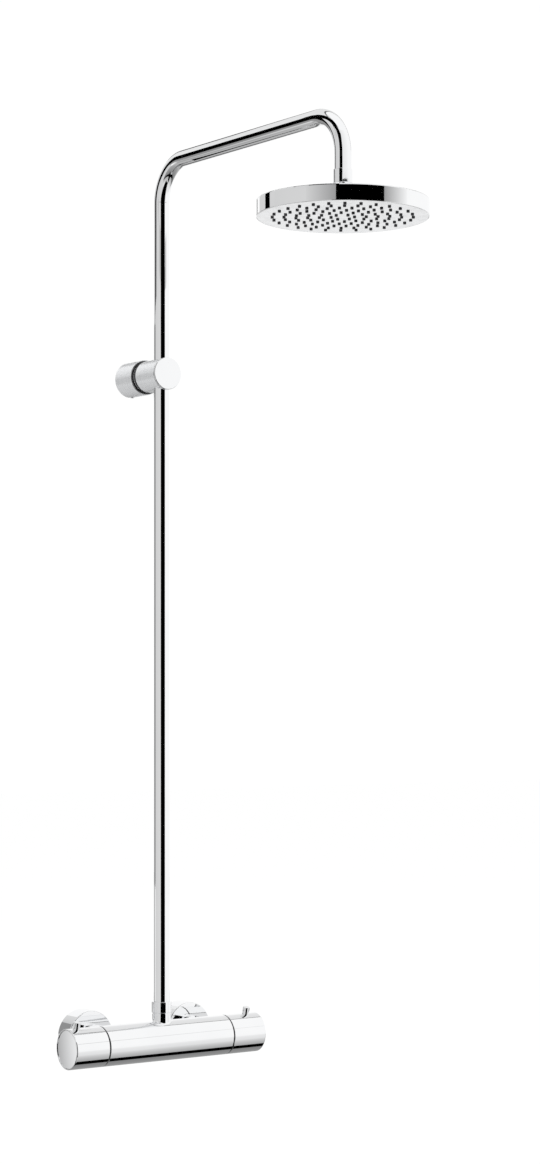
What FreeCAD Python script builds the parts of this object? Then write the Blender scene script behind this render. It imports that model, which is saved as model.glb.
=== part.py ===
import FreeCAD, Part
import math
import os

# Thermostatic shower column with an overhead rain shower.  All sizes are in millimetres.
# Origin: on the finished wall, midway between the two wall inlets, at their height.
# +X runs right along the wall, +Y into the wall, +Z up, so the user stands on the -Y side.

Vector = FreeCAD.Vector
X_AXIS = Vector(1, 0, 0)
Y_AXIS = Vector(0, 1, 0)
Z_AXIS = Vector(0, 0, 1)

# ---- Driving dimensions -------------------------------------------------------------------
INLET_PITCH = 150.0           # between the hot and cold wall inlets
INLET_DROP = 7.0              # eccentricity of the offset unions: mixer inlets below wall inlets
BAR_DROP = 5.0                # bar axis below the mixer inlets
AXIS_Y = -76.0                # bar and riser axes in front of the wall
BAR_RADIUS = 25.5
BODY_LEFT = -90.8             # end faces of the mixer body
BODY_RIGHT = 94.8
GROOVE = 1.6                  # gap between the body and each handle
FLOW_END = 49.6               # outer end of each handle, from the body's end face
TEMPERATURE_END = 50.3
FLOW_BUTTON_AT = 38.7         # button axis, from the body's end face
TEMPERATURE_BUTTON_AT = 31.7
BUTTON_LEAN = 12.0            # degrees from straight up towards the user
BUTTON_RADIUS = 4.5
BUTTON_HEIGHT = 9.5           # above the handle's surface

PIPE_RADIUS = 10.0
PIPE_WALL = 1.0
BEND_RADIUS = 50.0
ARM_REACH = 384.0             # from the riser axis to the head axis
ARM_HEIGHT = 1117.0           # arm centreline above the bar axis, at the riser
ARM_FALL = 4.6                # the arm's centreline falls this much over its reach
BRACKET_HEIGHT = 849.5        # wall bracket above the bar axis
HEAD_HEIGHT = 990.0           # underside of the head above the bar axis
HEAD_RADIUS = 100.0
HEAD_RIM = 19.0

ROSETTE_RADIUS = 33.0
ROSETTE_DEPTH = 26.5

# ---- Places worked out from them ----------------------------------------------------------
INLET_Z = -INLET_DROP
BAR_Z = INLET_Z - BAR_DROP
ARM_Z = BAR_Z + ARM_HEIGHT
BRACKET_Z = BAR_Z + BRACKET_HEIGHT
HEAD_Z = BAR_Z + HEAD_HEIGHT
HEAD_Y = AXIS_Y - ARM_REACH
LEFT = -1
RIGHT = 1
INLET_X = {LEFT: -INLET_PITCH / 2, RIGHT: INLET_PITCH / 2}
FACE_X = {LEFT: BODY_LEFT, RIGHT: BODY_RIGHT}

# ---- Fits ---------------------------------------------------------------------------------
RUNNING = 0.06                # radial clearance of a shaft that turns or slides in its hole

# ---- Threads, as plain cylinders at their outside radius ----------------------------------
HALF_INCH_R = 10.4775
THREE_QUARTER_R = 13.22

# ---- Mixer body and its inside, axial places counted outwards from the body's end face -----
CHAMBER_RADIUS = {LEFT: 16.0, RIGHT: 18.0}
CHAMBER_DEPTH = {LEFT: 40.0, RIGHT: 76.0}
RING_RECESS_RADIUS = 21.0
RING_RECESS_DEPTH = 4.0
PASSAGE_RADIUS = 12.0
BYPASS_RADIUS = 2.5
BYPASS_OFFSET = 21.6          # hot water channel below the bar axis
OUTLET_RADIUS = 12.0
OUTLET_TOP = 34.5             # above the bar axis
OUTLET_FILLET = 2.5
OUTLET_BORE = 8.0
SOCKET_DEPTH = 11.5
NOZZLE_END_Y = -41.0
NOZZLE_BORE = 8.3
NECK_RADIUS = 11.0
NECK_END = 10.0
SPINDLE_RADIUS = 5.0
SPINDLE_END = 20.0
SEAT_DEPTH = 22.0             # where the spindle's bore opens into the valve space
NUT_DEPTH = 8.0
HUB_START = 11.0
WEB_START = 20.0
WEB_END = 24.0
SHELL_RADIUS = 22.8           # inside of the handle shell
CAP_DEPTH = 3.4
SHELF_LOW = 10.0
SHELF_HIGH = 12.5
SHELF_HALF_WIDTH = 7.0
FLANGE_LOW = 19.9             # button flange, radial places from the bar axis
FLANGE_HIGH = 21.6
FLANGE_RADIUS = 6.3
STEM_RADIUS = 2.8


# ---- Helpers ------------------------------------------------------------------------------
def rounded_edges(places, rounds, closed):
    """Straight edges through places, joined by a tangent arc wherever a round is given."""
    corners = []
    for index, here in enumerate(places):
        if not rounds[index]:
            corners.append((here, None, here))
            continue
        back = (places[index - 1] - here).normalize()
        onward = (places[(index + 1) % len(places)] - here).normalize()
        half_turn = back.getAngle(onward) / 2
        reach = rounds[index] / math.tan(half_turn)
        centre = here + (back + onward).normalize() * (rounds[index] / math.sin(half_turn))
        middle = centre + (here - centre).normalize() * rounds[index]
        corners.append((here + back * reach, middle, here + onward * reach))
    edges = []
    for index, (start, middle, end) in enumerate(corners):
        if middle:
            edges.append(Part.Arc(start, middle, end).toShape())
        following = corners[(index + 1) % len(corners)][0]
        is_last = index == len(corners) - 1
        if (closed or not is_last) and (following - end).Length > 1e-6:
            edges.append(Part.LineSegment(end, following).toShape())
    return edges


def closed_outline(points):
    """Face in the X-Z plane: each point is (along, radius) or (along, radius, corner round)."""
    places = [Vector(point[1], 0, point[0]) for point in points]
    rounds = [point[2] if len(point) > 2 else 0.0 for point in points]
    return Part.Face(Part.Wire(rounded_edges(places, rounds, True)))


def turned(points, origin, direction):
    """Solid of revolution about the line through origin: outline points are (along, radius)."""
    solid = closed_outline(points).revolve(Vector(), Z_AXIS, 360)
    solid.Placement = FreeCAD.Placement(origin, FreeCAD.Rotation(Z_AXIS, direction))
    return solid


def cylinder(origin, direction, radius, start, end):
    """Cylinder from start to end along direction, counted from origin."""
    base = origin + direction * start
    return Part.makeCylinder(radius, end - start, base, direction)


def tube(origin, direction, outer, inner, start, end):
    """Pipe length with its bore right through."""
    outside = cylinder(origin, direction, outer, start, end)
    return outside.cut(cylinder(origin, direction, inner, start - 1, end + 1))


def hexagon(origin, direction, across_flats, start, end):
    """Six-sided prism along direction."""
    corner = across_flats / math.sqrt(3)
    turns = [math.radians(60 * side) for side in range(7)]
    loop = [Vector(corner * math.cos(turn), corner * math.sin(turn), start) for turn in turns]
    prism = Part.Face(Part.makePolygon(loop)).extrude(Vector(0, 0, end - start))
    prism.Placement = FreeCAD.Placement(origin, FreeCAD.Rotation(Z_AXIS, direction))
    return prism


def o_ring(origin, direction, along, radius, cord_radius):
    """Rubber ring round the line through origin."""
    return Part.makeTorus(radius, cord_radius, origin + direction * along, direction)


def coil_spring(origin, direction, start, end, coil_radius, wire_radius, turns):
    """Helical compression spring whose wire lies wholly between start and end."""
    height = end - start - 2 * wire_radius
    helix = Part.makeHelix(height / turns, height, coil_radius)
    section = Part.Wire(Part.makeCircle(wire_radius, Vector(coil_radius, 0, 0), Y_AXIS))
    spring = Part.Wire(helix).makePipeShell([section], True, True)
    base = origin + direction * (start + wire_radius)
    spring.Placement = FreeCAD.Placement(base, FreeCAD.Rotation(Z_AXIS, direction))
    return spring


def around(origin, direction, count, shape, first=0.0):
    """Copies of shape turned evenly about a line."""
    copies = []
    for index in range(count):
        copy = shape.copy()
        copy.rotate(origin, direction, first + index * 360.0 / count)
        copies.append(copy)
    return copies


def joined(shapes):
    """One solid from overlapping shapes."""
    whole = shapes[0]
    for shape in shapes[1:]:
        whole = whole.fuse(shape)
    return whole.removeSplitter()


def without(shape, tools):
    """The shape with every tool cut away."""
    for tool in tools:
        shape = shape.cut(tool)
    return shape


def export(node, shape):
    """Write one node and stop if its shape is unsound."""
    if not shape.isValid() or not shape.Solids:
        raise ValueError(node + " is not a valid solid")
    shape.exportStep("parts/" + node + ".step")
    sizes = [round(side, 1) for side in (shape.BoundBox.XLength, shape.BoundBox.YLength)]
    print(node, len(shape.Solids), "solids", sizes, round(shape.BoundBox.ZLength, 1))


BAR_AXIS = Vector(0, AXIS_Y, BAR_Z)
RISER_AXIS = Vector(0, AXIS_Y, 0)


def both_sides(maker):
    """The left and right copies of a small piece as one group."""
    return Part.makeCompound([maker(LEFT), maker(RIGHT)])


def bar_end(side):
    """Centre of the mixer body's end face on one side."""
    return Vector(FACE_X[side], AXIS_Y, BAR_Z)


def outwards(side):
    """Direction out of the bar's end on one side."""
    return X_AXIS * side


# ---- Mixer body ---------------------------------------------------------------------------
def mixer_body():
    """Brass bar with the two valve chambers, the rear inlet nozzles and the top outlet."""
    bar = turned(
        [(BODY_LEFT, 0), (BODY_LEFT, BAR_RADIUS, 0.5), (BODY_RIGHT, BAR_RADIUS, 0.5), (BODY_RIGHT, 0)],
        BAR_AXIS, X_AXIS)
    outlet = cylinder(BAR_AXIS, Z_AXIS, OUTLET_RADIUS, 0, OUTLET_TOP)
    body = bar.fuse(outlet)
    saddle = [
        edge for edge in body.Edges
        if edge.BoundBox.ZMin > BAR_Z + BAR_RADIUS - 6 and edge.BoundBox.ZMax < BAR_Z + BAR_RADIUS + 0.1
        and edge.BoundBox.ZLength > 1 and edge.Length > OUTLET_RADIUS]
    body = body.makeFillet(OUTLET_FILLET, saddle)
    cuts = [
        cylinder(BAR_AXIS, Z_AXIS, OUTLET_BORE, 0, OUTLET_TOP + 1),
        cylinder(BAR_AXIS, Z_AXIS, PIPE_RADIUS + 0.2, OUTLET_TOP - SOCKET_DEPTH, OUTLET_TOP + 1),
        cylinder(BAR_AXIS, X_AXIS, PASSAGE_RADIUS, BODY_LEFT + 5, BODY_RIGHT - 5),
        cylinder(BAR_AXIS - Z_AXIS * BYPASS_OFFSET, X_AXIS, BYPASS_RADIUS, -72, 40)]
    for side, bypass_x in ((LEFT, -70), (RIGHT, 38)):
        end = bar_end(side)
        out = outwards(side)
        nozzle = Vector(INLET_X[side], 0, INLET_Z)
        body = body.fuse(cylinder(nozzle, Y_AXIS, 11.5, AXIS_Y + 12, NOZZLE_END_Y))
        body = body.fuse(cylinder(nozzle, Y_AXIS, 12.9, NOZZLE_END_Y - 3, NOZZLE_END_Y))
        cuts.append(cylinder(end, out, CHAMBER_RADIUS[side], -CHAMBER_DEPTH[side], 1))
        cuts.append(cylinder(end, out, RING_RECESS_RADIUS, -RING_RECESS_DEPTH, 1))
        cuts.append(cylinder(nozzle, Y_AXIS, NOZZLE_BORE, AXIS_Y + 10, 0))
        riser = Vector(bypass_x, AXIS_Y, BAR_Z - BYPASS_OFFSET)
        cuts.append(cylinder(riser, Z_AXIS, BYPASS_RADIUS, 0, BYPASS_OFFSET - 10))
    return without(body, cuts)


# ---- Inlets -------------------------------------------------------------------------------
def offset_union(side):
    """Eccentric union from the wall thread to the union nut's thread, with its bore."""
    front = Vector(INLET_X[side], 0, INLET_Z)
    wall = Vector(INLET_X[side], 0, 0)
    middle = Vector(INLET_X[side], 0, INLET_Z / 2)
    body = joined([
        cylinder(front, Y_AXIS, THREE_QUARTER_R, -39, -20),
        cylinder(middle, Y_AXIS, 16.6, -20.5, -11),
        cylinder(wall, Y_AXIS, HALF_INCH_R, -11.5, 16)])
    return without(body, [
        cylinder(front, Y_AXIS, 8.5, -40, -15),
        cylinder(wall, Y_AXIS, 7.5, -17, 17)])


def rosette(side):
    """Cup that hides the union, standing on the wall round the mixer inlet's axis."""
    origin = Vector(INLET_X[side], 0, INLET_Z)
    wall = 1.4
    return turned([
        (0, ROSETTE_RADIUS - wall), (0, ROSETTE_RADIUS), (-ROSETTE_DEPTH, ROSETTE_RADIUS, 1.2),
        (-ROSETTE_DEPTH, THREE_QUARTER_R + 0.1), (-ROSETTE_DEPTH + 4, THREE_QUARTER_R + 0.1),
        (-ROSETTE_DEPTH + 4, THREE_QUARTER_R + 2), (-ROSETTE_DEPTH + wall, THREE_QUARTER_R + 2),
        (-ROSETTE_DEPTH + wall, ROSETTE_RADIUS - wall)], origin, Y_AXIS)


def union_nut(side):
    """Captive hexagonal nut that draws the mixer's nozzle onto the union."""
    origin = Vector(INLET_X[side], 0, INLET_Z)
    blank = hexagon(origin, Y_AXIS, 30, -48, -28)
    chamfers = turned([(-48, 0), (-48, 15.2), (-46.6, 17.4), (-29.4, 17.4), (-28, 15.2), (-28, 0)],
                      origin, Y_AXIS)
    return without(blank.common(chamfers), [
        cylinder(origin, Y_AXIS, 11.7, -49, -27),
        cylinder(origin, Y_AXIS, THREE_QUARTER_R + 0.05, -44, -27)])


def filter_seal(side):
    """Flat seal with a fine strainer across it, between the nozzle and the union."""
    origin = Vector(INLET_X[side], 0, INLET_Z)
    ring = tube(origin, Y_AXIS, 12.8, 7.5, NOZZLE_END_Y, -39)
    strainer = tube(origin, Y_AXIS, 7.5, 1.0, -40.3, -39.9)
    return ring.fuse(strainer).removeSplitter()


def check_valve_housing(side):
    """Sleeve in the nozzle with a seat at the wall end and a guide at the mixer end."""
    origin = Vector(INLET_X[side], 0, INLET_Z)
    sleeve = turned([
        (-54.5, 1.56), (-54.5, 8.1), (-41.2, 8.1), (-41.2, 4.2), (-43.2, 4.8), (-43.2, 6.6),
        (-53, 6.6), (-53, 1.56)], origin, Y_AXIS)
    ports = [cylinder(origin + Z_AXIS * 4.2, Y_AXIS, 1.7, -55, -52.9)]
    return without(sleeve, around(origin, Y_AXIS, 5, ports[0]))


def check_valve_poppet(side):
    """Mushroom valve that slides 3 mm off its seat when water flows in."""
    origin = Vector(INLET_X[side], 0, INLET_Z)
    return turned([
        (-55, 0), (-55, 1.5), (-44.9, 1.5), (-44.9, 5.8), (-43.3, 5.8), (-43.3, 4.6),
        (-41.6, 3.6), (-41.6, 0)], origin, Y_AXIS)


def check_valve_spring(side):
    """Light spring that seats the poppet."""
    origin = Vector(INLET_X[side], 0, INLET_Z)
    return coil_spring(origin, Y_AXIS, -52.9, -45.0, 3.2, 0.35, 4)


# ---- Handles, the same design at both ends ------------------------------------------------
def stop_ring(side):
    """Ring clipped in the body's recess, seen in the groove, with a lug that limits the turn."""
    ring = turned([
        (-RING_RECESS_DEPTH, 18.3), (-RING_RECESS_DEPTH, 20.9), (0, 20.9), (0, 23.9),
        (GROOVE - 0.2, 23.9), (GROOVE - 0.2, 18.3)], bar_end(side), outwards(side))
    lug = tube(bar_end(side), outwards(side), 21.4, 18.3, 0.5, 7)
    wedge = Part.makeBox(20, 8, 10, bar_end(side) + Vector(-10, -4, -26))
    return ring.fuse(lug.common(wedge)).removeSplitter()


def valve_housing(side, bore_radius, grooves):
    """Sleeve of a cartridge with its spindle bore and seal grooves."""
    depth = CHAMBER_DEPTH[side] - 2
    outer = CHAMBER_RADIUS[side] - 0.2
    housing = turned([
        (-depth, bore_radius), (-depth, outer), (-NUT_DEPTH, outer), (-NUT_DEPTH, NECK_RADIUS),
        (NECK_END, NECK_RADIUS, 0.5), (NECK_END, SPINDLE_RADIUS + RUNNING),
        (-SEAT_DEPTH, SPINDLE_RADIUS + RUNNING), (-SEAT_DEPTH, bore_radius)],
        bar_end(side), outwards(side))
    slots = [tube(bar_end(side), outwards(side), outer + 1, outer - 1.9, at - 1.3, at + 1.3)
             for at in grooves]
    return without(housing, slots)


def cartridge_seals():
    """Rubber rings of both cartridges."""
    rings = []
    for side, grooves in ((LEFT, FLOW_GROOVES), (RIGHT, THERMOSTAT_GROOVES)):
        radius = CHAMBER_RADIUS[side] - 1.05
        rings += [o_ring(bar_end(side), outwards(side), at, radius, 0.95) for at in grooves]
    return Part.makeCompound(rings)


def cartridge_nut(side):
    """Ring nut that holds a cartridge in its chamber."""
    end = bar_end(side)
    out = outwards(side)
    outer = CHAMBER_RADIUS[side] - 0.05
    thread = cylinder(end, out, outer, -NUT_DEPTH, 1)
    head = hexagon(end, out, 27, 0.5, 6)
    return without(thread.fuse(head), [cylinder(end, out, NECK_RADIUS + 0.1, -9, 7)])


def spindle(side, points):
    """Valve spindle with two flats at its outer end and a blind screw hole."""
    end = bar_end(side)
    out = outwards(side)
    shaft = turned(points, end, out)
    flat = Part.makeBox(40, 6, 2)
    flat.translate(Vector(-20, -3, 4))
    flats = []
    for turn in (0, 180):
        tool = flat.copy()
        tool.rotate(Vector(), X_AXIS, turn)
        tool.translate(end + out * (HUB_START + 20.5))
        flats.append(tool)
    return without(shaft, flats + [cylinder(end, out, 2.0, 8, SPINDLE_END + 1)])


def lean(direction_length):
    """Offset from the bar axis along the leaning radial direction of the buttons."""
    turn = math.radians(BUTTON_LEAN)
    return Vector(0, -math.sin(turn), math.cos(turn)) * direction_length


def handle(side, end_at, button_at):
    """Hollow handle: shell, hub that takes the spindle, and a shelf under the button's spring."""
    end = bar_end(side)
    out = outwards(side)
    shell = turned([
        (GROOVE, SHELL_RADIUS), (GROOVE, BAR_RADIUS, 0.5), (end_at, BAR_RADIUS, 1.5),
        (end_at, 23.7, 0.25), (end_at - CAP_DEPTH, 23.7), (end_at - CAP_DEPTH, SHELL_RADIUS),
        (WEB_END, SHELL_RADIUS), (WEB_END, 2.2), (WEB_START, 2.2), (WEB_START, 5.03),
        (HUB_START, 5.03), (HUB_START, 9.0), (WEB_START, 9.0), (WEB_START, SHELL_RADIUS)], end, out)
    keys = []
    for turn in (0, 180):
        key = Part.makeBox(WEB_START - HUB_START - 0.5, 6, 1.2)
        key.translate(Vector(-(WEB_START - HUB_START - 0.5) / 2, -3, 4.1))
        key.rotate(Vector(), X_AXIS, turn)
        key.translate(end + out * ((HUB_START + 0.5 + WEB_START) / 2))
        keys.append(key)
    shelf_length = end_at - CAP_DEPTH - 1 - WEB_END
    shelf = Part.makeBox(shelf_length + 0.5, 2 * SHELF_HALF_WIDTH, SHELF_HIGH - SHELF_LOW)
    shelf.translate(Vector(-(shelf_length + 0.5) / 2, -SHELF_HALF_WIDTH, SHELF_LOW))
    shelf.rotate(Vector(), X_AXIS, BUTTON_LEAN)
    shelf.translate(end + out * (WEB_END - 0.5 + (shelf_length + 0.5) / 2))
    whole = joined([shell, shelf] + keys)
    seat = end + out * button_at
    return without(whole, [
        cylinder(seat, lean(1), BUTTON_RADIUS + RUNNING, FLANGE_HIGH - 2, BAR_RADIUS + 5),
        cylinder(seat, lean(1), STEM_RADIUS + 0.2, SHELF_LOW - 3, SHELF_HIGH + 1)])


def handle_cap(side, end_at):
    """Slightly domed disc pressed into the handle's outer end."""
    end = bar_end(side)
    out = outwards(side)
    low = end_at - CAP_DEPTH + 0.05
    disc = turned([(low, 0), (low, 23.6), (end_at - 0.2, 23.6), (end_at - 0.2, 0)], end, out)
    dome_radius = 400.0
    dome = Part.makeSphere(dome_radius, end + out * (end_at - 0.2 - dome_radius))
    return disc.common(dome)


def handle_screw(side):
    """Pan-head screw through the hub into the spindle."""
    screw = turned([
        (9, 0), (9, 1.95), (WEB_END, 1.95), (WEB_END, 4.2), (WEB_END + 2.8, 4.2, 0.8),
        (WEB_END + 2.8, 0)], bar_end(side), outwards(side))
    return screw.cut(hexagon(bar_end(side), outwards(side), 2.5, WEB_END + 1, WEB_END + 4))


def button(side, button_at):
    """Push button that slides inwards through the handle's shell."""
    top = BAR_RADIUS + BUTTON_HEIGHT
    return turned([
        (13, 0), (13, STEM_RADIUS, 0.4), (FLANGE_LOW, STEM_RADIUS), (FLANGE_LOW, FLANGE_RADIUS),
        (FLANGE_HIGH, FLANGE_RADIUS), (FLANGE_HIGH, BUTTON_RADIUS), (top, BUTTON_RADIUS, 0.7),
        (top, 0)], bar_end(side) + outwards(side) * button_at, lean(1))


def button_spring(side, button_at):
    """Return spring between the handle's shelf and the button's flange."""
    seat = bar_end(side) + outwards(side) * button_at
    return coil_spring(seat, lean(1), SHELF_HIGH + 0.05, FLANGE_LOW - 0.05, 4.2, 0.45, 4)


# ---- Flow valve at the left end -----------------------------------------------------------
FLOW_BORE = 13.0
FLOW_GROOVES = (-14.0, -26.0)


def flow_spindle():
    """Spindle with the drive plate that turns the upper ceramic disc."""
    return spindle(LEFT, [
        (-28.7, 0), (-28.7, 12.6), (-SEAT_DEPTH - 0.3, 12.6), (-SEAT_DEPTH - 0.3, SPINDLE_RADIUS),
        (SPINDLE_END, SPINDLE_RADIUS, 0.4), (SPINDLE_END, 0)])


def ceramic_disc(start, end, radius, port_radius, port_offset, count):
    """Lapped ceramic disc with round water ports."""
    centre = bar_end(LEFT)
    out = outwards(LEFT)
    disc = cylinder(centre, out, radius, start, end)
    port = cylinder(centre + Z_AXIS * port_offset, out, port_radius, start - 1, end + 1)
    return without(disc, around(centre, out, count, port, 45))


# ---- Thermostat at the right end ----------------------------------------------------------
THERMOSTAT_BORE = 14.0
THERMOSTAT_GROOVES = (-14.0, -28.0, -51.0, -70.0)
HOT_WINDOW = (-64.0, -57.0)
COLD_WINDOW = (-45.0, -38.0)


def thermostat_housing():
    """Cartridge sleeve with a ring of windows for hot water and one for cold."""
    end = bar_end(RIGHT)
    sleeve = valve_housing(RIGHT, THERMOSTAT_BORE, THERMOSTAT_GROOVES)
    floor = tube(end, X_AXIS, THERMOSTAT_BORE + 0.5, 9.0, -74, -71)
    windows = []
    for start, stop in (HOT_WINDOW, COLD_WINDOW):
        window = Part.makeBox(stop - start, 9, 10, end + Vector(start, -4.5, 10))
        windows += around(end, X_AXIS, 4, window)
    return without(joined([sleeve, floor]), windows)


def thermostat_spindle():
    """Hollow spindle whose inner thread moves the wax element's pin."""
    return spindle(RIGHT, [
        (-26, 3.05), (-26, 7.0), (-SEAT_DEPTH - 0.3, 7.0), (-SEAT_DEPTH - 0.3, SPINDLE_RADIUS),
        (SPINDLE_END, SPINDLE_RADIUS, 0.4), (SPINDLE_END, 0), (-8, 0), (-8, 3.05)])


def wax_element():
    """Copper wax capsule with its thrust pin reaching into the spindle."""
    return turned([
        (-68, 0), (-68, 4.4, 1.0), (-52, 4.4), (-52, 5.0), (-36, 5.0), (-36, 6.4), (-33, 6.4),
        (-33, 3.0), (-12, 3.0), (-12, 0)], bar_end(RIGHT), X_AXIS)


def regulating_piston():
    """Sliding sleeve that shares the flow between the two rings of windows."""
    end = bar_end(RIGHT)
    slide = turned([
        (-59, 11.5), (-59, THERMOSTAT_BORE - RUNNING), (-43, THERMOSTAT_BORE - RUNNING),
        (-43, 11.5), (-48, 11.5), (-48, 5.02), (-51, 5.02), (-51, 11.5)], end, X_AXIS)
    port = cylinder(end + Z_AXIS * 8.3, X_AXIS, 2.2, -52, -47)
    return without(slide, around(end, X_AXIS, 6, port))


def thermostat_spring():
    """Return spring behind the piston."""
    return coil_spring(bar_end(RIGHT), X_AXIS, -70.9, -51.1, 9.8, 0.8, 4)


# ---- Riser --------------------------------------------------------------------------------
RISER_NUT_TOP = 50.0
RISER_JOINT = 0.15            # half the gap between the riser and the arm inside the bracket
SPIGOT_RADIUS = PIPE_RADIUS - PIPE_WALL - 0.07
SPIGOT_DEPTH = 40.0
SPIGOT_GROOVES = (-12.0, -30.0)


def riser_nut():
    """Round nut with a short neck that holds the riser in the mixer's outlet."""
    nut = turned([
        (OUTLET_TOP, 10.1), (OUTLET_TOP, 11.3), (OUTLET_TOP + 1.5, 11.3),
        (OUTLET_TOP + 1.5, 12.6, 0.5), (RISER_NUT_TOP, 12.6, 0.5), (RISER_NUT_TOP, 10.1)],
        BAR_AXIS, Z_AXIS)
    return nut.cut(tube(BAR_AXIS, Z_AXIS, 11.7, 9.5, 40.8, 43.2))


def riser_pipe():
    """Straight lower pipe from the mixer up into the wall bracket."""
    low = BAR_Z + OUTLET_TOP - SOCKET_DEPTH
    high = BRACKET_Z - RISER_JOINT
    return tube(RISER_AXIS, Z_AXIS, PIPE_RADIUS, PIPE_RADIUS - PIPE_WALL, low, high)


def arm_route():
    """Centreline of the arm: up, a bend, out to the user, a bend, and down to the head."""
    places = [
        Vector(0, AXIS_Y, BRACKET_Z + RISER_JOINT),
        Vector(0, AXIS_Y, ARM_Z),
        Vector(0, HEAD_Y, ARM_Z - ARM_FALL),
        Vector(0, HEAD_Y, HEAD_Z + ARM_END)]
    return Part.Wire(rounded_edges(places, (0, BEND_RADIUS, BEND_RADIUS, 0), False))


def shower_arm():
    """Bent upper pipe, one piece from the bracket to the head."""
    start = Vector(0, AXIS_Y, BRACKET_Z + RISER_JOINT)
    solids = []
    for radius in (PIPE_RADIUS, PIPE_RADIUS - PIPE_WALL):
        section = Part.Wire(Part.makeCircle(radius, start, Z_AXIS))
        solids.append(arm_route().makePipeShell([section], True, False))
    return solids[0].cut(solids[1])


def arm_spigot():
    """Turned spigot fixed in the arm that swivels inside the riser's top end."""
    origin = Vector(0, AXIS_Y, BRACKET_Z)
    spigot = turned([
        (-SPIGOT_DEPTH, 7.6), (-SPIGOT_DEPTH, SPIGOT_RADIUS, 0.5), (14, SPIGOT_RADIUS), (14, 7.6)],
        origin, Z_AXIS)
    slots = [tube(origin, Z_AXIS, SPIGOT_RADIUS + 1, 8.15, at - 0.7, at + 0.7)
             for at in SPIGOT_GROOVES]
    return without(spigot, slots)


def arm_seals():
    """Rubber rings in the spigot's grooves and the flat washer at the arm's outer end."""
    origin = Vector(0, AXIS_Y, BRACKET_Z)
    rings = [o_ring(origin, Z_AXIS, at, 8.56, 0.38) for at in SPIGOT_GROOVES]
    washer = tube(head_origin(), Z_AXIS, 8.1, 4.5, ARM_END - 2, ARM_END - 0.05)
    return Part.makeCompound(rings + [washer])


# ---- Wall bracket -------------------------------------------------------------------------
FLANGE_OUTER = 22.5
FLANGE_FRONT = -37.5
BEAD_OUTER = {"rear": 21.6, "front": 21.0}
BEAD_WIDTH = 2.4
RING_FRONT = -45.0
SLEEVE_OUTER = 20.25
SLEEVE_NECK = 19.6
SLEEVE_FRONT = -87.6
BRACKET_FRONT = -90.6
SCREW_OFFSET = 12.0           # above and below the bracket's axis
SCREW_RADIUS = 2.0
SCREW_SHANK_RADIUS = 2.2      # plain part of the wall screws, inside the plate
GRUB_Y = -6.0


def bracket_origin():
    """Where the bracket's axis meets the wall."""
    return Vector(0, 0, BRACKET_Z)


def bracket_base():
    """Wall plate with two screw holes and a threaded boss for the stud."""
    plate = turned([
        (0, 0), (0, 19, 0.5), (-10, 19, 0.8), (-10, 8.5), (-22, 8.5, 0.6), (-22, 0)],
        bracket_origin(), Y_AXIS)
    cuts = [cylinder(bracket_origin(), Y_AXIS, 5.0, -23, -6)]
    for offset in (-SCREW_OFFSET, SCREW_OFFSET):
        hole = bracket_origin() + Z_AXIS * offset
        cuts.append(cylinder(hole, Y_AXIS, SCREW_SHANK_RADIUS + 0.15, -11, 1))
        cuts.append(cylinder(hole, Y_AXIS, 4.4, -11, -5))
    return without(plate, cuts)


def bracket_screws():
    """Two wall screws with pan heads sunk in the plate."""
    screws = []
    for offset in (-SCREW_OFFSET, SCREW_OFFSET):
        origin = bracket_origin() + Z_AXIS * offset
        screw = turned([
            (24, 0), (20, SCREW_RADIUS), (0, SCREW_RADIUS), (0, SCREW_SHANK_RADIUS),
            (-5, SCREW_SHANK_RADIUS), (-5, 4.1), (-8, 3.6, 0.8), (-8, 0)], origin, Y_AXIS)
        screws.append(screw.cut(hexagon(origin, Y_AXIS, 2.5, -9, -6)))
    return Part.makeCompound(screws)


def bracket_stud():
    """Threaded stud that sets the bracket's distance from the wall."""
    return turned([(-62, 0), (-62, 5, 0.8), (-6, 5, 0.8), (-6, 0)], bracket_origin(), Y_AXIS)


def bracket_flange():
    """Wide sleeve over the wall plate, open to the wall."""
    sleeve = turned([
        (0, FLANGE_OUTER - 2), (0, FLANGE_OUTER), (FLANGE_FRONT, FLANGE_OUTER, 0.5),
        (FLANGE_FRONT, 9.2), (FLANGE_FRONT + 3, 9.2), (FLANGE_FRONT + 3, FLANGE_OUTER - 2)],
        bracket_origin(), Y_AXIS)
    hole = bracket_origin() + Y_AXIS * GRUB_Y
    return sleeve.cut(cylinder(hole, -Z_AXIS, 2.0, 18, FLANGE_OUTER + 1))


def bracket_grub_screw():
    """Set screw under the flange that clamps it to the wall plate."""
    hole = bracket_origin() + Y_AXIS * GRUB_Y
    tip = FLANGE_OUTER + 0.8
    screw = turned([(19.05, 0), (19.05, 1.95, 0.4), (tip, 1.95, 0.3), (tip, 0)], hole, -Z_AXIS)
    return screw.cut(hexagon(hole, -Z_AXIS, 2.0, tip - 2.3, tip + 1))


def bracket_rings():
    """Two dark plastic rings on the sleeve's neck, one against the flange and one further out."""
    neck = SLEEVE_NECK + 0.05
    rings = []
    for outer, start, end in (
            (BEAD_OUTER["rear"], FLANGE_FRONT - BEAD_WIDTH, FLANGE_FRONT),
            (BEAD_OUTER["front"], RING_FRONT, RING_FRONT + BEAD_WIDTH)):
        rings.append(turned([(start, neck), (start, outer, 1.1), (end, outer, 1.1), (end, neck)],
                            bracket_origin(), Y_AXIS))
    return Part.makeCompound(rings)


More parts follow.
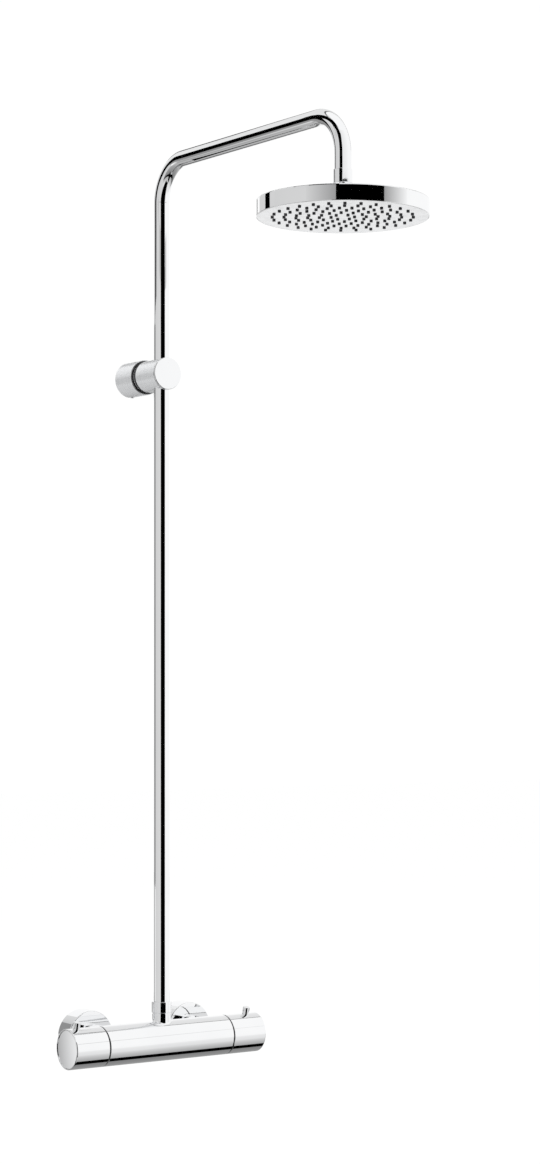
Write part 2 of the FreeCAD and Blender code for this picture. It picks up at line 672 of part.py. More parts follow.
def bracket_sleeve():
    """Front sleeve with a neck for the dark rings and the cross bore that the riser passes through."""
    sleeve = turned([
        (FLANGE_FRONT, 5.0), (FLANGE_FRONT, SLEEVE_NECK), (RING_FRONT, SLEEVE_NECK),
        (RING_FRONT, SLEEVE_OUTER, 0.4), (SLEEVE_FRONT, SLEEVE_OUTER, 0.3),
        (SLEEVE_FRONT, 0), (-63, 0), (-63, 5.0)], bracket_origin(), Y_AXIS)
    centre = Vector(0, AXIS_Y, BRACKET_Z)
    return without(sleeve, [
        cylinder(centre, Z_AXIS, PIPE_RADIUS + 0.08, -30, 30),
        cylinder(centre, Z_AXIS, 11.5, -14, 14),
        cylinder(bracket_origin(), Y_AXIS, 3.0, SLEEVE_FRONT - 1, AXIS_Y)])


def bracket_liner():
    """Plastic bush round the pipe inside the sleeve."""
    centre = Vector(0, AXIS_Y, BRACKET_Z)
    liner = tube(centre, Z_AXIS, 11.4, PIPE_RADIUS + 0.08, -13.9, 13.9)
    split = Part.makeBox(2, 5, 30, centre + Vector(-1, 8, -15))
    return liner.cut(split)


def bracket_cap():
    """Front disc with a peg pressed into the sleeve."""
    return turned([
        (SLEEVE_FRONT, 0), (SLEEVE_FRONT, 19.6), (SLEEVE_FRONT - 0.5, 19.6),
        (SLEEVE_FRONT - 0.5, SLEEVE_OUTER, 0.3), (BRACKET_FRONT, SLEEVE_OUTER, 0.9),
        (BRACKET_FRONT, 0)], bracket_origin(), Y_AXIS)


# ---- Overhead shower, axial places counted up from the head's underside ---------------------
BALL_AT = 26.0
BALL_RADIUS = 9.0
LINER_OUTER = 10.5
SEAL_OUTER = 12.0
BALL_NECK = 4.2
NUT_LOW = 38.5
NUT_HIGH = 54.5
NUT_RADIUS = 11.25
ARM_END = 51.5
SOCKET_TOP = 31.5
SOCKET_RADIUS = 15.5
HEAD_WALL = 1.6
PLATE_RADIUS = 98.7
PLATE_THICK = 2.0
NOZZLE_RING_STEP = 13.5
NOZZLE_RINGS = ((6, 19.0), (12, 19.0), (18, 19.0), (24, 19.0), (28, 3.3), (28, 3.3))
NOZZLE_RADIUS = 1.85
NOZZLE_PROUD = 1.4


def head_origin():
    """Centre of the head's underside."""
    return Vector(0, HEAD_Y, HEAD_Z)


def nozzle_places():
    """Plan positions of the spray nozzles: each ring has a count and its first one's angle."""
    places = []
    for ring, (count, first) in enumerate(NOZZLE_RINGS):
        radius = NOZZLE_RING_STEP * (ring + 1)
        for index in range(count):
            turn = math.radians(first + 360.0 * index / count)
            places.append(Vector(radius * math.cos(turn), radius * math.sin(turn), 0))
    return places


def nozzle_cylinders(radius, start, end):
    """One cylinder at each nozzle."""
    return [cylinder(head_origin() + place, Z_AXIS, radius, start, end) for place in nozzle_places()]


def head_nut():
    """Round nut at the arm's end that holds the ball's stem."""
    return turned([
        (NUT_LOW, 8.2), (NUT_LOW, NUT_RADIUS, 0.6), (NUT_HIGH, NUT_RADIUS, 0.6), (NUT_HIGH, 10.05),
        (ARM_END, 10.05), (ARM_END, 8.2)], head_origin(), Z_AXIS)


def swivel_ball():
    """Ball with a narrow neck and a stem screwed into the nut."""
    stem_top = ARM_END - 2
    neck_start = BALL_AT + math.sqrt(BALL_RADIUS ** 2 - BALL_NECK ** 2) - 0.3
    ball = Part.makeSphere(BALL_RADIUS, head_origin() + Z_AXIS * BALL_AT)
    stem = turned([
        (neck_start - 1, 0), (neck_start - 1, BALL_NECK), (NUT_LOW, BALL_NECK), (NUT_LOW, 8.2),
        (stem_top, 8.2), (stem_top, 0)], head_origin(), Z_AXIS)
    bore = cylinder(head_origin(), Z_AXIS, 2.6, 10, stem_top + 1)
    return ball.fuse(stem).removeSplitter().cut(bore)


def spherical_ring(inner, outer, low, high):
    """Zone of a spherical shell round the ball's centre, open at top and bottom."""
    centre = head_origin() + Z_AXIS * BALL_AT
    zone = cylinder(centre, Z_AXIS, outer + 1, low, high)
    return Part.makeSphere(outer, centre).common(zone).cut(Part.makeSphere(inner, centre))


def ball_liner():
    """Slippery plastic zone that turns on the ball."""
    return spherical_ring(BALL_RADIUS + RUNNING, LINER_OUTER, -5.6, 4.6)


def ball_seal():
    """Rubber zone between the liner and the head's socket."""
    return spherical_ring(LINER_OUTER + RUNNING, SEAL_OUTER, -6.2, 5.0)


def head_shell():
    """Upper shell: flat rim, gently rising top and the socket's lower half."""
    top_edge = HEAD_RADIUS - 2
    shell = turned([
        (0, PLATE_RADIUS + 0.1), (0, HEAD_RADIUS, 0.5), (HEAD_RIM, HEAD_RADIUS, 1.4),
        (HEAD_RIM + 1.5, 24), (HEAD_RIM + 1.5, SOCKET_RADIUS - 1.5, 0), (BALL_AT, SOCKET_RADIUS - 1.5),
        (BALL_AT, 5), (13.5, 5), (13.5, SOCKET_RADIUS - 1.5), (HEAD_RIM - HEAD_WALL, 24),
        (HEAD_RIM - HEAD_WALL, top_edge - 3), (6, top_edge - 3), (6, PLATE_RADIUS - 3.2),
        (PLATE_THICK, PLATE_RADIUS - 3.2), (PLATE_THICK, PLATE_RADIUS + 0.1)],
        head_origin(), Z_AXIS)
    socket = Part.makeSphere(SEAL_OUTER + RUNNING, head_origin() + Z_AXIS * BALL_AT)
    return shell.cut(socket)


def socket_ring():
    """Threaded ring that closes the socket over the ball."""
    centre = head_origin() + Z_AXIS * BALL_AT
    thread = SOCKET_RADIUS - 1.5
    ring = turned([
        (BALL_AT, 0), (BALL_AT, thread), (HEAD_RIM + 1.6, thread),
        (HEAD_RIM + 1.6, SOCKET_RADIUS + 1.5, 0.6), (SOCKET_TOP, SOCKET_RADIUS + 1.5, 1.2),
        (SOCKET_TOP, 0)], head_origin(), Z_AXIS)
    return ring.cut(Part.makeSphere(SEAL_OUTER + RUNNING, centre))


def face_plate():
    """Underside plate with a clearance hole for each nozzle."""
    plate = turned([
        (0, 0), (0, PLATE_RADIUS, 0.3), (PLATE_THICK, PLATE_RADIUS), (PLATE_THICK, 0)],
        head_origin(), Z_AXIS)
    return plate.cut(Part.makeCompound(nozzle_cylinders(NOZZLE_RADIUS + 0.1, -1, PLATE_THICK + 1)))


def nozzle_mat():
    """Silicone mat with every nozzle moulded on it, tips standing proud of the plate."""
    mat = cylinder(head_origin(), Z_AXIS, 91, PLATE_THICK + 0.02, PLATE_THICK + 1.5)
    tips = nozzle_cylinders(NOZZLE_RADIUS, -NOZZLE_PROUD, PLATE_THICK + 1)
    holes = nozzle_cylinders(0.55, -NOZZLE_PROUD - 1, PLATE_THICK + 3)
    return mat.fuse(tips).cut(Part.makeCompound(holes))


def head_gasket():
    """Ring that presses the mat's edge and seals it to the shell."""
    return tube(head_origin(), Z_AXIS, 94.5, 88.0, PLATE_THICK + 1.6, 5.4)


def flow_restrictor():
    """Disc in the head's inlet that limits the flow."""
    disc = cylinder(head_origin(), Z_AXIS, 12.5, 11.2, 13.4)
    holes = around(head_origin(), Z_AXIS, 6, cylinder(head_origin() + X_AXIS * 2.8, Z_AXIS, 0.9, 10, 14))
    return without(disc, holes)


# ---- Build every node -----------------------------------------------------------------------
def main():
    """Write one STEP file for each piece."""
    os.makedirs("parts", exist_ok=True)
    nodes = {"mixer_body": mixer_body()}
    for side, word in ((LEFT, "left"), (RIGHT, "right")):
        nodes[word + "_offset_union"] = offset_union(side)
        nodes[word + "_rosette"] = rosette(side)
        nodes[word + "_check_valve_poppet"] = check_valve_poppet(side)
    nodes["union_nuts"] = both_sides(union_nut)
    nodes["filter_seals"] = both_sides(filter_seal)
    nodes["check_valve_housings"] = both_sides(check_valve_housing)
    nodes["check_valve_springs"] = both_sides(check_valve_spring)
    handles = (
        (LEFT, "flow", "eco", FLOW_END, FLOW_BUTTON_AT),
        (RIGHT, "temperature", "safety", TEMPERATURE_END, TEMPERATURE_BUTTON_AT))
    for side, use, push, end_at, button_at in handles:
        nodes[use + "_stop_ring"] = stop_ring(side)
        nodes[use + "_cartridge_nut"] = cartridge_nut(side)
        nodes[use + "_handle"] = handle(side, end_at, button_at)
        nodes[use + "_handle_cap"] = handle_cap(side, end_at)
        nodes[use + "_handle_screw"] = handle_screw(side)
        nodes[push + "_button"] = button(side, button_at)
        nodes[push + "_button_spring"] = button_spring(side, button_at)
    nodes["flow_valve_housing"] = valve_housing(LEFT, FLOW_BORE, FLOW_GROOVES)
    nodes["flow_spindle"] = flow_spindle()
    nodes["fixed_ceramic_disc"] = ceramic_disc(-37.9, -32.9, 12.95, 3.2, 7.0, 2)
    nodes["turning_ceramic_disc"] = ceramic_disc(-32.8, -28.7, 12.6, 3.2, 7.0, 2)
    nodes["thermostat_housing"] = thermostat_housing()
    nodes["cartridge_seals"] = cartridge_seals()
    nodes["thermostat_spindle"] = thermostat_spindle()
    nodes["wax_element"] = wax_element()
    nodes["regulating_piston"] = regulating_piston()
    nodes["thermostat_spring"] = thermostat_spring()
    nodes["riser_nut"] = riser_nut()
    nodes["riser_seal"] = o_ring(BAR_AXIS, Z_AXIS, 42, 10.85, 0.75)
    nodes["riser_pipe"] = riser_pipe()
    nodes["shower_arm"] = shower_arm()
    nodes["arm_spigot"] = arm_spigot()
    nodes["arm_seals"] = arm_seals()
    nodes["bracket_base"] = bracket_base()
    nodes["bracket_screws"] = bracket_screws()
    nodes["bracket_stud"] = bracket_stud()
    nodes["bracket_flange"] = bracket_flange()
    nodes["bracket_grub_screw"] = bracket_grub_screw()
    nodes["bracket_rings"] = bracket_rings()
    nodes["bracket_sleeve"] = bracket_sleeve()
    nodes["bracket_liner"] = bracket_liner()
    nodes["bracket_cap"] = bracket_cap()
    nodes["head_nut"] = head_nut()
    nodes["swivel_ball"] = swivel_ball()
    nodes["ball_liner"] = ball_liner()
    nodes["ball_seal"] = ball_seal()
    nodes["socket_ring"] = socket_ring()
    nodes["head_shell"] = head_shell()
    nodes["face_plate"] = face_plate()
    nodes["nozzle_mat"] = nozzle_mat()
    nodes["head_gasket"] = head_gasket()
    nodes["flow_restrictor"] = flow_restrictor()
    for node, shape in nodes.items():
        export(node, shape)
    print(len(nodes), "nodes")


main()
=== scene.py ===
import math

import bmesh
import bpy
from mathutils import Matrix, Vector


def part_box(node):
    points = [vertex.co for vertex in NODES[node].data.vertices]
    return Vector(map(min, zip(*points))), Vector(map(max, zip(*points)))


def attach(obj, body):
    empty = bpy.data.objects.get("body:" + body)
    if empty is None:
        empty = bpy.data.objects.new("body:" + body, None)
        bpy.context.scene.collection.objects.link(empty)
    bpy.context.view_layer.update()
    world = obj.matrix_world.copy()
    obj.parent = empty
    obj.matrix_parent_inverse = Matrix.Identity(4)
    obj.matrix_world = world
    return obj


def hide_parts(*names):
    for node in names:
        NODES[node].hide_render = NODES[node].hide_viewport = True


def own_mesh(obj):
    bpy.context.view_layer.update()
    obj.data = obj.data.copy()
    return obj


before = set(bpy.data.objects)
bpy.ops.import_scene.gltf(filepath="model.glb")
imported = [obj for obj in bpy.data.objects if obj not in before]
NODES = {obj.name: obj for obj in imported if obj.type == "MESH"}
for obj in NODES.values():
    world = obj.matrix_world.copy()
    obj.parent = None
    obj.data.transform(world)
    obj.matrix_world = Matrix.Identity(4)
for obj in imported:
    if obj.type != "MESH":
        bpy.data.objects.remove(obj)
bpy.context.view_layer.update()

# Looks for the thermostatic shower column: finishes, threads and the photo studio round it.
# Everything is in metres in the row frame: the wall is the plane y = 0 and the user stands at -Y.


def centre_of(node):
    """Middle of a CAD node's box at rest."""
    low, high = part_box(node)
    return (low + high) / 2


RISER = centre_of("riser_pipe")
BAR = centre_of("mixer_body")
HEAD = centre_of("head_shell")
ARM_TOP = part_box("shower_arm")[1].z

# ---- Camera -------------------------------------------------------------------------------
# A level camera a little to the left of the column, with a vertical shift for the framing.
CAMERA_BEARING = math.radians(35.29)
CAMERA_DISTANCE = 3.13684
CAMERA_ASIDE = 0.13824
CAMERA_HEIGHT = 0.43564
CAMERA_LENS = 76.05
CAMERA_SHIFT = 0.0924

FORWARD = Vector((math.sin(CAMERA_BEARING), math.cos(CAMERA_BEARING), 0))
RIGHTWARD = Vector((math.cos(CAMERA_BEARING), -math.sin(CAMERA_BEARING), 0))
UP = Vector((0, 0, 1))


def make_camera():
    data = bpy.data.cameras.new("camera")
    data.lens = CAMERA_LENS
    data.shift_y = CAMERA_SHIFT
    data.clip_end = 60
    camera = bpy.data.objects.new("camera", data)
    bpy.context.scene.collection.objects.link(camera)
    foot = Vector((RISER.x, RISER.y, 0))
    camera.location = foot - FORWARD * CAMERA_DISTANCE + RIGHTWARD * CAMERA_ASIDE + UP * CAMERA_HEIGHT
    camera.rotation_mode = "QUATERNION"
    camera.rotation_quaternion = FORWARD.to_track_quat("-Z", "Y")
    bpy.context.scene.camera = camera


# ---- Node helpers for the finishes ----------------------------------------------------------
class Finish:
    """A Principled material whose colour, roughness and bump come from procedural noise."""

    def __init__(self, name, metallic, **constants):
        self.material = bpy.data.materials.new(name)
        self.material.use_nodes = True
        self.nodes = self.material.node_tree.nodes
        self.links = self.material.node_tree.links
        self.shader = self.nodes["Principled BSDF"]
        self.shader.inputs["Metallic"].default_value = metallic
        for socket, value in constants.items():
            self.shader.inputs[socket.replace("_", " ")].default_value = value
        self.place = self.nodes.new("ShaderNodeTexCoord").outputs["Object"]
        self.normal = None

    def stretched(self, scale):
        """Object coordinates scaled per axis, for grain that runs one way."""
        mapping = self.nodes.new("ShaderNodeMapping")
        mapping.inputs["Scale"].default_value = scale
        self.links.new(self.place, mapping.inputs["Vector"])
        return mapping.outputs["Vector"]

    def noise(self, scale, detail=2.0, roughness=0.5, stretch=None):
        """Noise value, scale counted in features per metre."""
        texture = self.nodes.new("ShaderNodeTexNoise")
        texture.inputs["Scale"].default_value = scale
        texture.inputs["Detail"].default_value = detail
        texture.inputs["Roughness"].default_value = roughness
        source = self.stretched(stretch) if stretch else self.place
        self.links.new(source, texture.inputs["Vector"])
        return texture.outputs["Fac"]

    def spots(self, scale, size):
        """Small round spots: 1 inside a spot and 0 elsewhere."""
        texture = self.nodes.new("ShaderNodeTexVoronoi")
        texture.inputs["Scale"].default_value = scale
        self.links.new(self.place, texture.inputs["Vector"])
        return self.ranged(texture.outputs["Distance"], 0.0, size, 1.0, 0.0)

    def edges(self, low, high):
        """1 on sharp outer edges, falling to 0 on flat surfaces."""
        geometry = self.nodes.new("ShaderNodeNewGeometry")
        return self.ranged(geometry.outputs["Pointiness"], low, high, 0.0, 1.0)

    def ranged(self, value, from_low, from_high, to_low, to_high):
        node = self.nodes.new("ShaderNodeMapRange")
        node.inputs["From Min"].default_value = from_low
        node.inputs["From Max"].default_value = from_high
        node.inputs["To Min"].default_value = to_low
        node.inputs["To Max"].default_value = to_high
        self.links.new(value, node.inputs["Value"])
        return node.outputs["Result"]

    def combined(self, operation, first, second):
        node = self.nodes.new("ShaderNodeMath")
        node.operation = operation
        for socket, value in zip(node.inputs, (first, second)):
            if isinstance(value, float):
                socket.default_value = value
            else:
                self.links.new(value, socket)
        return node.outputs["Value"]

    def colour(self, value, stops):
        """Base colour from a ramp: stops are (place, (red, green, blue))."""
        ramp = self.nodes.new("ShaderNodeValToRGB")
        elements = ramp.color_ramp.elements
        while len(elements) < len(stops):
            elements.new(0.5)
        for element, (place, tone) in zip(elements, stops):
            element.position = place
            element.color = (*tone, 1.0)
        self.links.new(value, ramp.inputs["Fac"])
        self.links.new(ramp.outputs["Color"], self.shader.inputs["Base Color"])

    def roughness(self, value, low, high):
        self.links.new(self.ranged(value, 0.3, 0.7, low, high), self.shader.inputs["Roughness"])

    def bump(self, height, depth, strength=1.0):
        """One more layer of relief, depth in metres."""
        node = self.nodes.new("ShaderNodeBump")
        node.inputs["Distance"].default_value = depth
        node.inputs["Strength"].default_value = strength
        self.links.new(height, node.inputs["Height"])
        if self.normal:
            self.links.new(self.normal, node.inputs["Normal"])
        self.normal = node.outputs["Normal"]
        self.links.new(self.normal, self.shader.inputs["Normal"])


# ---- Finishes -----------------------------------------------------------------------------
def chrome():
    """Polished plating: faint orange peel, dried water specks and slight tone drift."""
    finish = Finish("polished_chrome", 1.0)
    drift = finish.noise(14, 3)
    finish.colour(drift, [(0.3, (0.90, 0.905, 0.915)), (0.7, (0.93, 0.935, 0.94))])
    haze = finish.combined("ADD", finish.noise(60, 4), finish.spots(420, 0.10))
    finish.roughness(haze, 0.018, 0.05)
    finish.bump(finish.noise(210, 2), 0.000004)
    return finish.material


def face_chrome():
    """Plating on the spray plate: softer polish with round spinning marks."""
    finish = Finish("spray_plate_chrome", 1.0)
    drift = finish.noise(30, 3)
    finish.colour(drift, [(0.3, (0.86, 0.87, 0.885)), (0.7, (0.90, 0.905, 0.915))])
    finish.roughness(finish.noise(90, 4), 0.08, 0.14)
    finish.bump(finish.noise(260, 3), 0.000006)
    return finish.material


def satin_chrome():
    """Fine-turned satin plating with marks that run round the bracket."""
    finish = Finish("satin_chrome", 0.72)
    marks = finish.noise(1.0, 4, 0.6, stretch=(40, 2600, 40))
    finish.colour(marks, [(0.3, (0.80, 0.81, 0.83)), (0.7, (0.90, 0.91, 0.92))])
    finish.roughness(marks, 0.24, 0.34)
    finish.bump(marks, 0.000012)
    finish.bump(finish.noise(900, 2), 0.00001)
    return finish.material


def machined_metal(name, dark, light, low, high):
    """Turned or drawn metal under the plating, with streaks and dull patches."""
    finish = Finish(name, 1.0)
    marks = finish.noise(1.0, 3, 0.6, stretch=(900, 900, 900))
    patches = finish.noise(70, 4)
    finish.colour(finish.combined("MULTIPLY", marks, patches), [(0.1, dark), (0.45, light)])
    finish.roughness(patches, low, high)
    finish.bump(marks, 0.00002)
    return finish.material


def moulded_plastic(name, dark, light, low, high, grain):
    """Injection-moulded plastic: fine spark-eroded grain and slight flow shading."""
    finish = Finish(name, 0.0)
    flow = finish.noise(45, 3)
    finish.colour(flow, [(0.3, dark), (0.7, light)])
    finish.roughness(finish.noise(400, 3), low, high)
    finish.bump(finish.noise(1800, 2), grain)
    return finish.material


MATERIALS = {
    "chrome": chrome(),
    "face_chrome": face_chrome(),
    "satin_chrome": satin_chrome(),
    "brass": machined_metal("brass", (0.62, 0.44, 0.19), (0.80, 0.62, 0.33), 0.22, 0.36),
    "copper": machined_metal("copper", (0.66, 0.33, 0.20), (0.84, 0.50, 0.34), 0.22, 0.36),
    "stainless_steel": machined_metal("stainless", (0.48, 0.48, 0.49), (0.66, 0.66, 0.67), 0.18, 0.32),
    "black_plastic": moulded_plastic("black_plastic", (0.004, 0.004, 0.005), (0.010, 0.010, 0.011), 0.10, 0.20, 0.000004),
    "white_plastic": moulded_plastic("white_plastic", (0.74, 0.74, 0.72), (0.82, 0.82, 0.80), 0.30, 0.44, 0.00001),
    "rubber": moulded_plastic("rubber", (0.016, 0.016, 0.016), (0.03, 0.03, 0.03), 0.55, 0.75, 0.00003),
    "silicone": moulded_plastic("silicone", (0.015, 0.015, 0.018), (0.03, 0.03, 0.035), 0.40, 0.55, 0.00001),
    "ceramic": moulded_plastic("ceramic", (0.84, 0.83, 0.79), (0.90, 0.89, 0.86), 0.12, 0.22, 0.000005),
}


def dress_nodes():
    """Give every CAD node the finish of its slot."""
    for node in NODES.values():
        for slot in node.material_slots:
            slot.material = MATERIALS[slot.material.name.split(".")[0]]


# ---- Meshes made here -----------------------------------------------------------------------
PIPE_SIDES = 96
THREAD_SIDES = 48
BEND_RADIUS = 0.050           # of the arm's centreline
PIPE_WALL = 0.001
ARM_FALL = 0.0046             # of the arm's centreline from the riser to the head
ARM_END_DEPTH = 0.003         # the arm's outer end, below the top of its nut


def circle(centre, across, along, radius, sides):
    """Ring of points in the plane of two unit vectors; radius is a number or follows the turn."""
    points = []
    for index in range(sides):
        turn = 2 * math.pi * index / sides
        size = radius(turn) if callable(radius) else radius
        points.append(centre + across * (size * math.cos(turn)) + along * (size * math.sin(turn)))
    return points


def skinned(name, rings, node, body, slot, looped):
    """Surface over rings of equal length: closed onto its first ring, or capped at both ends."""
    mesh = bpy.data.meshes.new(name)
    sides = len(rings[0])
    points = [point for ring in rings for point in ring]
    faces = []
    for index in range(len(rings) if looped else len(rings) - 1):
        here = index * sides
        onward = (index + 1) % len(rings) * sides
        for side in range(sides):
            following = (side + 1) % sides
            faces.append((here + side, here + following, onward + following, onward + side))
    if not looped:
        last = (len(rings) - 1) * sides
        faces.append(tuple(range(sides - 1, -1, -1)))
        faces.append(tuple(range(last, last + sides)))
    mesh.from_pydata(points, [], faces)
    cleaner = bmesh.new()
    cleaner.from_mesh(mesh)
    bmesh.ops.remove_doubles(cleaner, verts=cleaner.verts, dist=1e-6)
    bmesh.ops.recalc_face_normals(cleaner, faces=cleaner.faces)
    cleaner.to_mesh(mesh)
    cleaner.free()
    mesh.shade_smooth()
    mesh.set_sharp_from_angle(angle=math.radians(32))
    mesh.materials.append(MATERIALS[slot])
    piece = bpy.data.objects.new(name, mesh)
    bpy.context.scene.collection.objects.link(piece)
    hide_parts(node)
    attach(piece, body)
    return piece


def rounded_route(corners, radius, steps):
    """Places and directions along straight runs joined by tangent arcs."""
    places = [(corners[0], (corners[1] - corners[0]).normalized())]
    for before, here, after in zip(corners, corners[1:], corners[2:]):
        inward = (before - here).normalized()
        onward = (after - here).normalized()
        half_turn = inward.angle(onward) / 2
        centre = here + (inward + onward).normalized() * (radius / math.sin(half_turn))
        start = here + inward * (radius / math.tan(half_turn)) - centre
        end = here + onward * (radius / math.tan(half_turn)) - centre
        places.append((centre + start - inward * -0.002, -inward))
        for step in range(steps + 1):
            spoke = start.slerp(end, step / steps) if step else start
            direction = (-inward).slerp(onward, step / steps) if step else -inward
            places.append((centre + spoke.normalized() * radius, direction))
        places.append((centre + end + onward * 0.002, onward))
    places.append((corners[-1], (corners[-1] - corners[-2]).normalized()))
    return places


def pipe(name, corners, node, body):
    """Drawn pipe with its bore, along straight runs and bends in the plane x = 0."""
    low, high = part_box(node)
    radius = (high.x - low.x) / 2
    side = Vector((1, 0, 0))
    route = rounded_route(corners, BEND_RADIUS, 60)
    outside = [circle(place, side, direction.cross(side), radius, PIPE_SIDES) for place, direction in route]
    inside = [circle(place, side, direction.cross(side), radius - PIPE_WALL, PIPE_SIDES)
              for place, direction in route]
    return skinned(name, outside + inside[::-1], node, body, "chrome", looped=True)


def make_pipes():
    """The riser and the bent arm, swept with true bends."""
    low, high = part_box("riser_pipe")
    foot = Vector((0, RISER.y, low.z))
    pipe("riser_tube", [foot, Vector((0, RISER.y, high.z))], "riser_pipe", "column")
    low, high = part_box("shower_arm")
    radius = (high.x - low.x) / 2
    slope = ARM_FALL / (RISER.y - HEAD.y)
    top = high.z - radius + slope * BEND_RADIUS
    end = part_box("head_nut")[1].z - ARM_END_DEPTH
    pipe("arm_tube", [
        Vector((0, RISER.y, low.z)), Vector((0, RISER.y, top)), Vector((0, HEAD.y, top - ARM_FALL)),
        Vector((0, HEAD.y, end))], "shower_arm", "arm")


def thread_rings(origin, start, end, radius, pitch, depth):
    """Rings of a helical ridge along +Y, run out to the root at both ends."""
    rings = []
    count = max(8, round((end - start) / pitch * 8))
    for index in range(count + 1):
        along = mixed(start, end, index / count)
        run_out = min(1.0, (along - start) / pitch, (end - along) / pitch)

        def ridge(turn, along=along, run_out=run_out):
            phase = (along / pitch - turn / (2 * math.pi)) % 1.0
            height = min(1.0, max(0.0, 1.35 - 3.2 * abs(phase - 0.5)))
            return radius - depth * (1.0 - height * run_out)

        rings.append(circle(origin + Vector((0, along, 0)), X_AXIS, UP, ridge, THREAD_SIDES))
    return rings


def plain_ring(origin, along, radius):
    return circle(origin + Vector((0, along, 0)), X_AXIS, UP, radius, THREAD_SIDES)


X_AXIS = Vector((1, 0, 0))
HALF_INCH = (0.0104775, 0.001814, 0.00116)         # radius, pitch and depth of the pipe threads
THREE_QUARTER = (0.01322, 0.001814, 0.00116)
WALL_SCREW = (0.0020, 0.0018, 0.0007)


def make_unions():
    """Eccentric wall unions with both pipe threads and an S-shaped bore."""
    for word in ("left", "right"):
        node = word + "_offset_union"
        low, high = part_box(node)
        x = (low.x + high.x) / 2
        front = Vector((x, 0, centre_of(word + "_rosette").z))
        wall = Vector((x, 0, 0))
        middle = (front + wall) / 2
        rings = [plain_ring(front, low.y, 0.0085)]
        rings += thread_rings(front, low.y, -0.0215, *THREE_QUARTER)
        rings += [plain_ring(middle, -0.0205, 0.0158), plain_ring(middle, -0.0201, 0.0166),
                  plain_ring(middle, -0.0114, 0.0166), plain_ring(middle, -0.0110, 0.0162)]
        rings += thread_rings(wall, -0.0105, high.y, *HALF_INCH)
        rings += [plain_ring(wall, high.y, 0.0075), plain_ring(wall, -0.010, 0.0075),
                  plain_ring(middle, -0.0155, 0.0078), plain_ring(front, -0.021, 0.0085)]
        skinned(word + "_threaded_union", rings, node, "column", "brass", looped=True)


def make_wall_screws():
    """The bracket's two wall screws as one piece: sunk pan head, plain shank and coarse thread."""
    low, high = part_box("bracket_screws")
    x = (low.x + high.x) / 2
    head = 0.0041
    for index, z in enumerate((low.z + head, high.z - head)):
        origin = Vector((x, 0, z))
        rings = [plain_ring(origin, low.y + 0.0020, 0.0013), plain_ring(origin, low.y, 0.0014),
                 plain_ring(origin, low.y, 0.0029), plain_ring(origin, low.y + 0.0003, 0.0035),
                 plain_ring(origin, low.y + 0.0030, head), plain_ring(origin, low.y + 0.0031, 0.0022),
                 plain_ring(origin, 0.0, 0.0022)]
        rings += thread_rings(origin, 0.0002, high.y - 0.0035, *WALL_SCREW)
        rings += [plain_ring(origin, high.y - 0.0030, 0.0012), plain_ring(origin, high.y, 0.0001)]
        skinned("wall_screw_" + str(index + 1), rings, "bracket_screws", "column", "stainless_steel",
                looped=False)


LEAN = math.radians(12)                 # of the handle buttons, from straight up to the user
WIRE_STEPS = 24                         # rings of wire in one turn of a spring


def coil_spring(node, name, body, centre, direction, length, radius, wire):
    """Helical spring of four turns, a fixed shape carried whole by its body."""
    along = direction.cross(X_AXIS).normalized() if abs(direction.x) < 0.5 else UP
    across = direction.cross(along)
    rings = []
    count = 4 * WIRE_STEPS
    for index in range(count + 1):
        turn = 2 * math.pi * index / WIRE_STEPS
        spoke = across * math.cos(turn) + along * math.sin(turn)
        rise = (length - 2 * wire) * (index / count - 0.5)
        rings.append(circle(centre + spoke * (radius - wire) + direction * rise, spoke, direction, wire, 12))
    piece = skinned(name, rings, node, body, "stainless_steel", looped=False)
    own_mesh(piece)


def make_springs():
    """The springs that the buttons, the check valves and the thermostat's piston press."""
    lean = Vector((0, -math.sin(LEAN), math.cos(LEAN)))
    for word, body in (("eco", "flow_handle"), ("safety", "temperature_handle")):
        node = word + "_button_spring"
        low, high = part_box(node)
        radius = (high.x - low.x) / 2
        length = (high.z - low.z - 2 * radius * math.sin(LEAN)) / math.cos(LEAN)
        coil_spring(node, word + "_return_spring", body,
                    (low + high) / 2, lean, length, radius, 0.00045)
    low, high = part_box("check_valve_springs")
    radius = (high.z - low.z) / 2
    for word, x in (("left", low.x + radius), ("right", high.x - radius)):
        centre = Vector((x, (low.y + high.y) / 2, (low.z + high.z) / 2))
        coil_spring("check_valve_springs", word + "_valve_spring", "column",
                    centre, Vector((0, 1, 0)), high.y - low.y, radius, 0.00035)
    low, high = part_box("thermostat_spring")
    coil_spring("thermostat_spring", "piston_spring", "column",
                (low + high) / 2, X_AXIS, high.x - low.x, (high.z - low.z) / 2, 0.0008)


# ---- Studio -------------------------------------------------------------------------------
def card_material():
    """Plain light of each card, its shade kept in the mesh's own attribute."""
    material = bpy.data.materials.new("studio_card")
    material.use_nodes = True
    nodes = material.node_tree.nodes
    nodes.remove(nodes["Principled BSDF"])
    shade = nodes.new("ShaderNodeAttribute")
    shade.attribute_name = "shade"
    light = nodes.new("ShaderNodeEmission")
    material.node_tree.links.new(shade.outputs["Color"], light.inputs["Color"])
    material.node_tree.links.new(light.outputs["Emission"], nodes["Material Output"].inputs["Surface"])
    material.cycles.emission_sampling = "NONE"
    return material


CARD_MATERIAL = card_material()


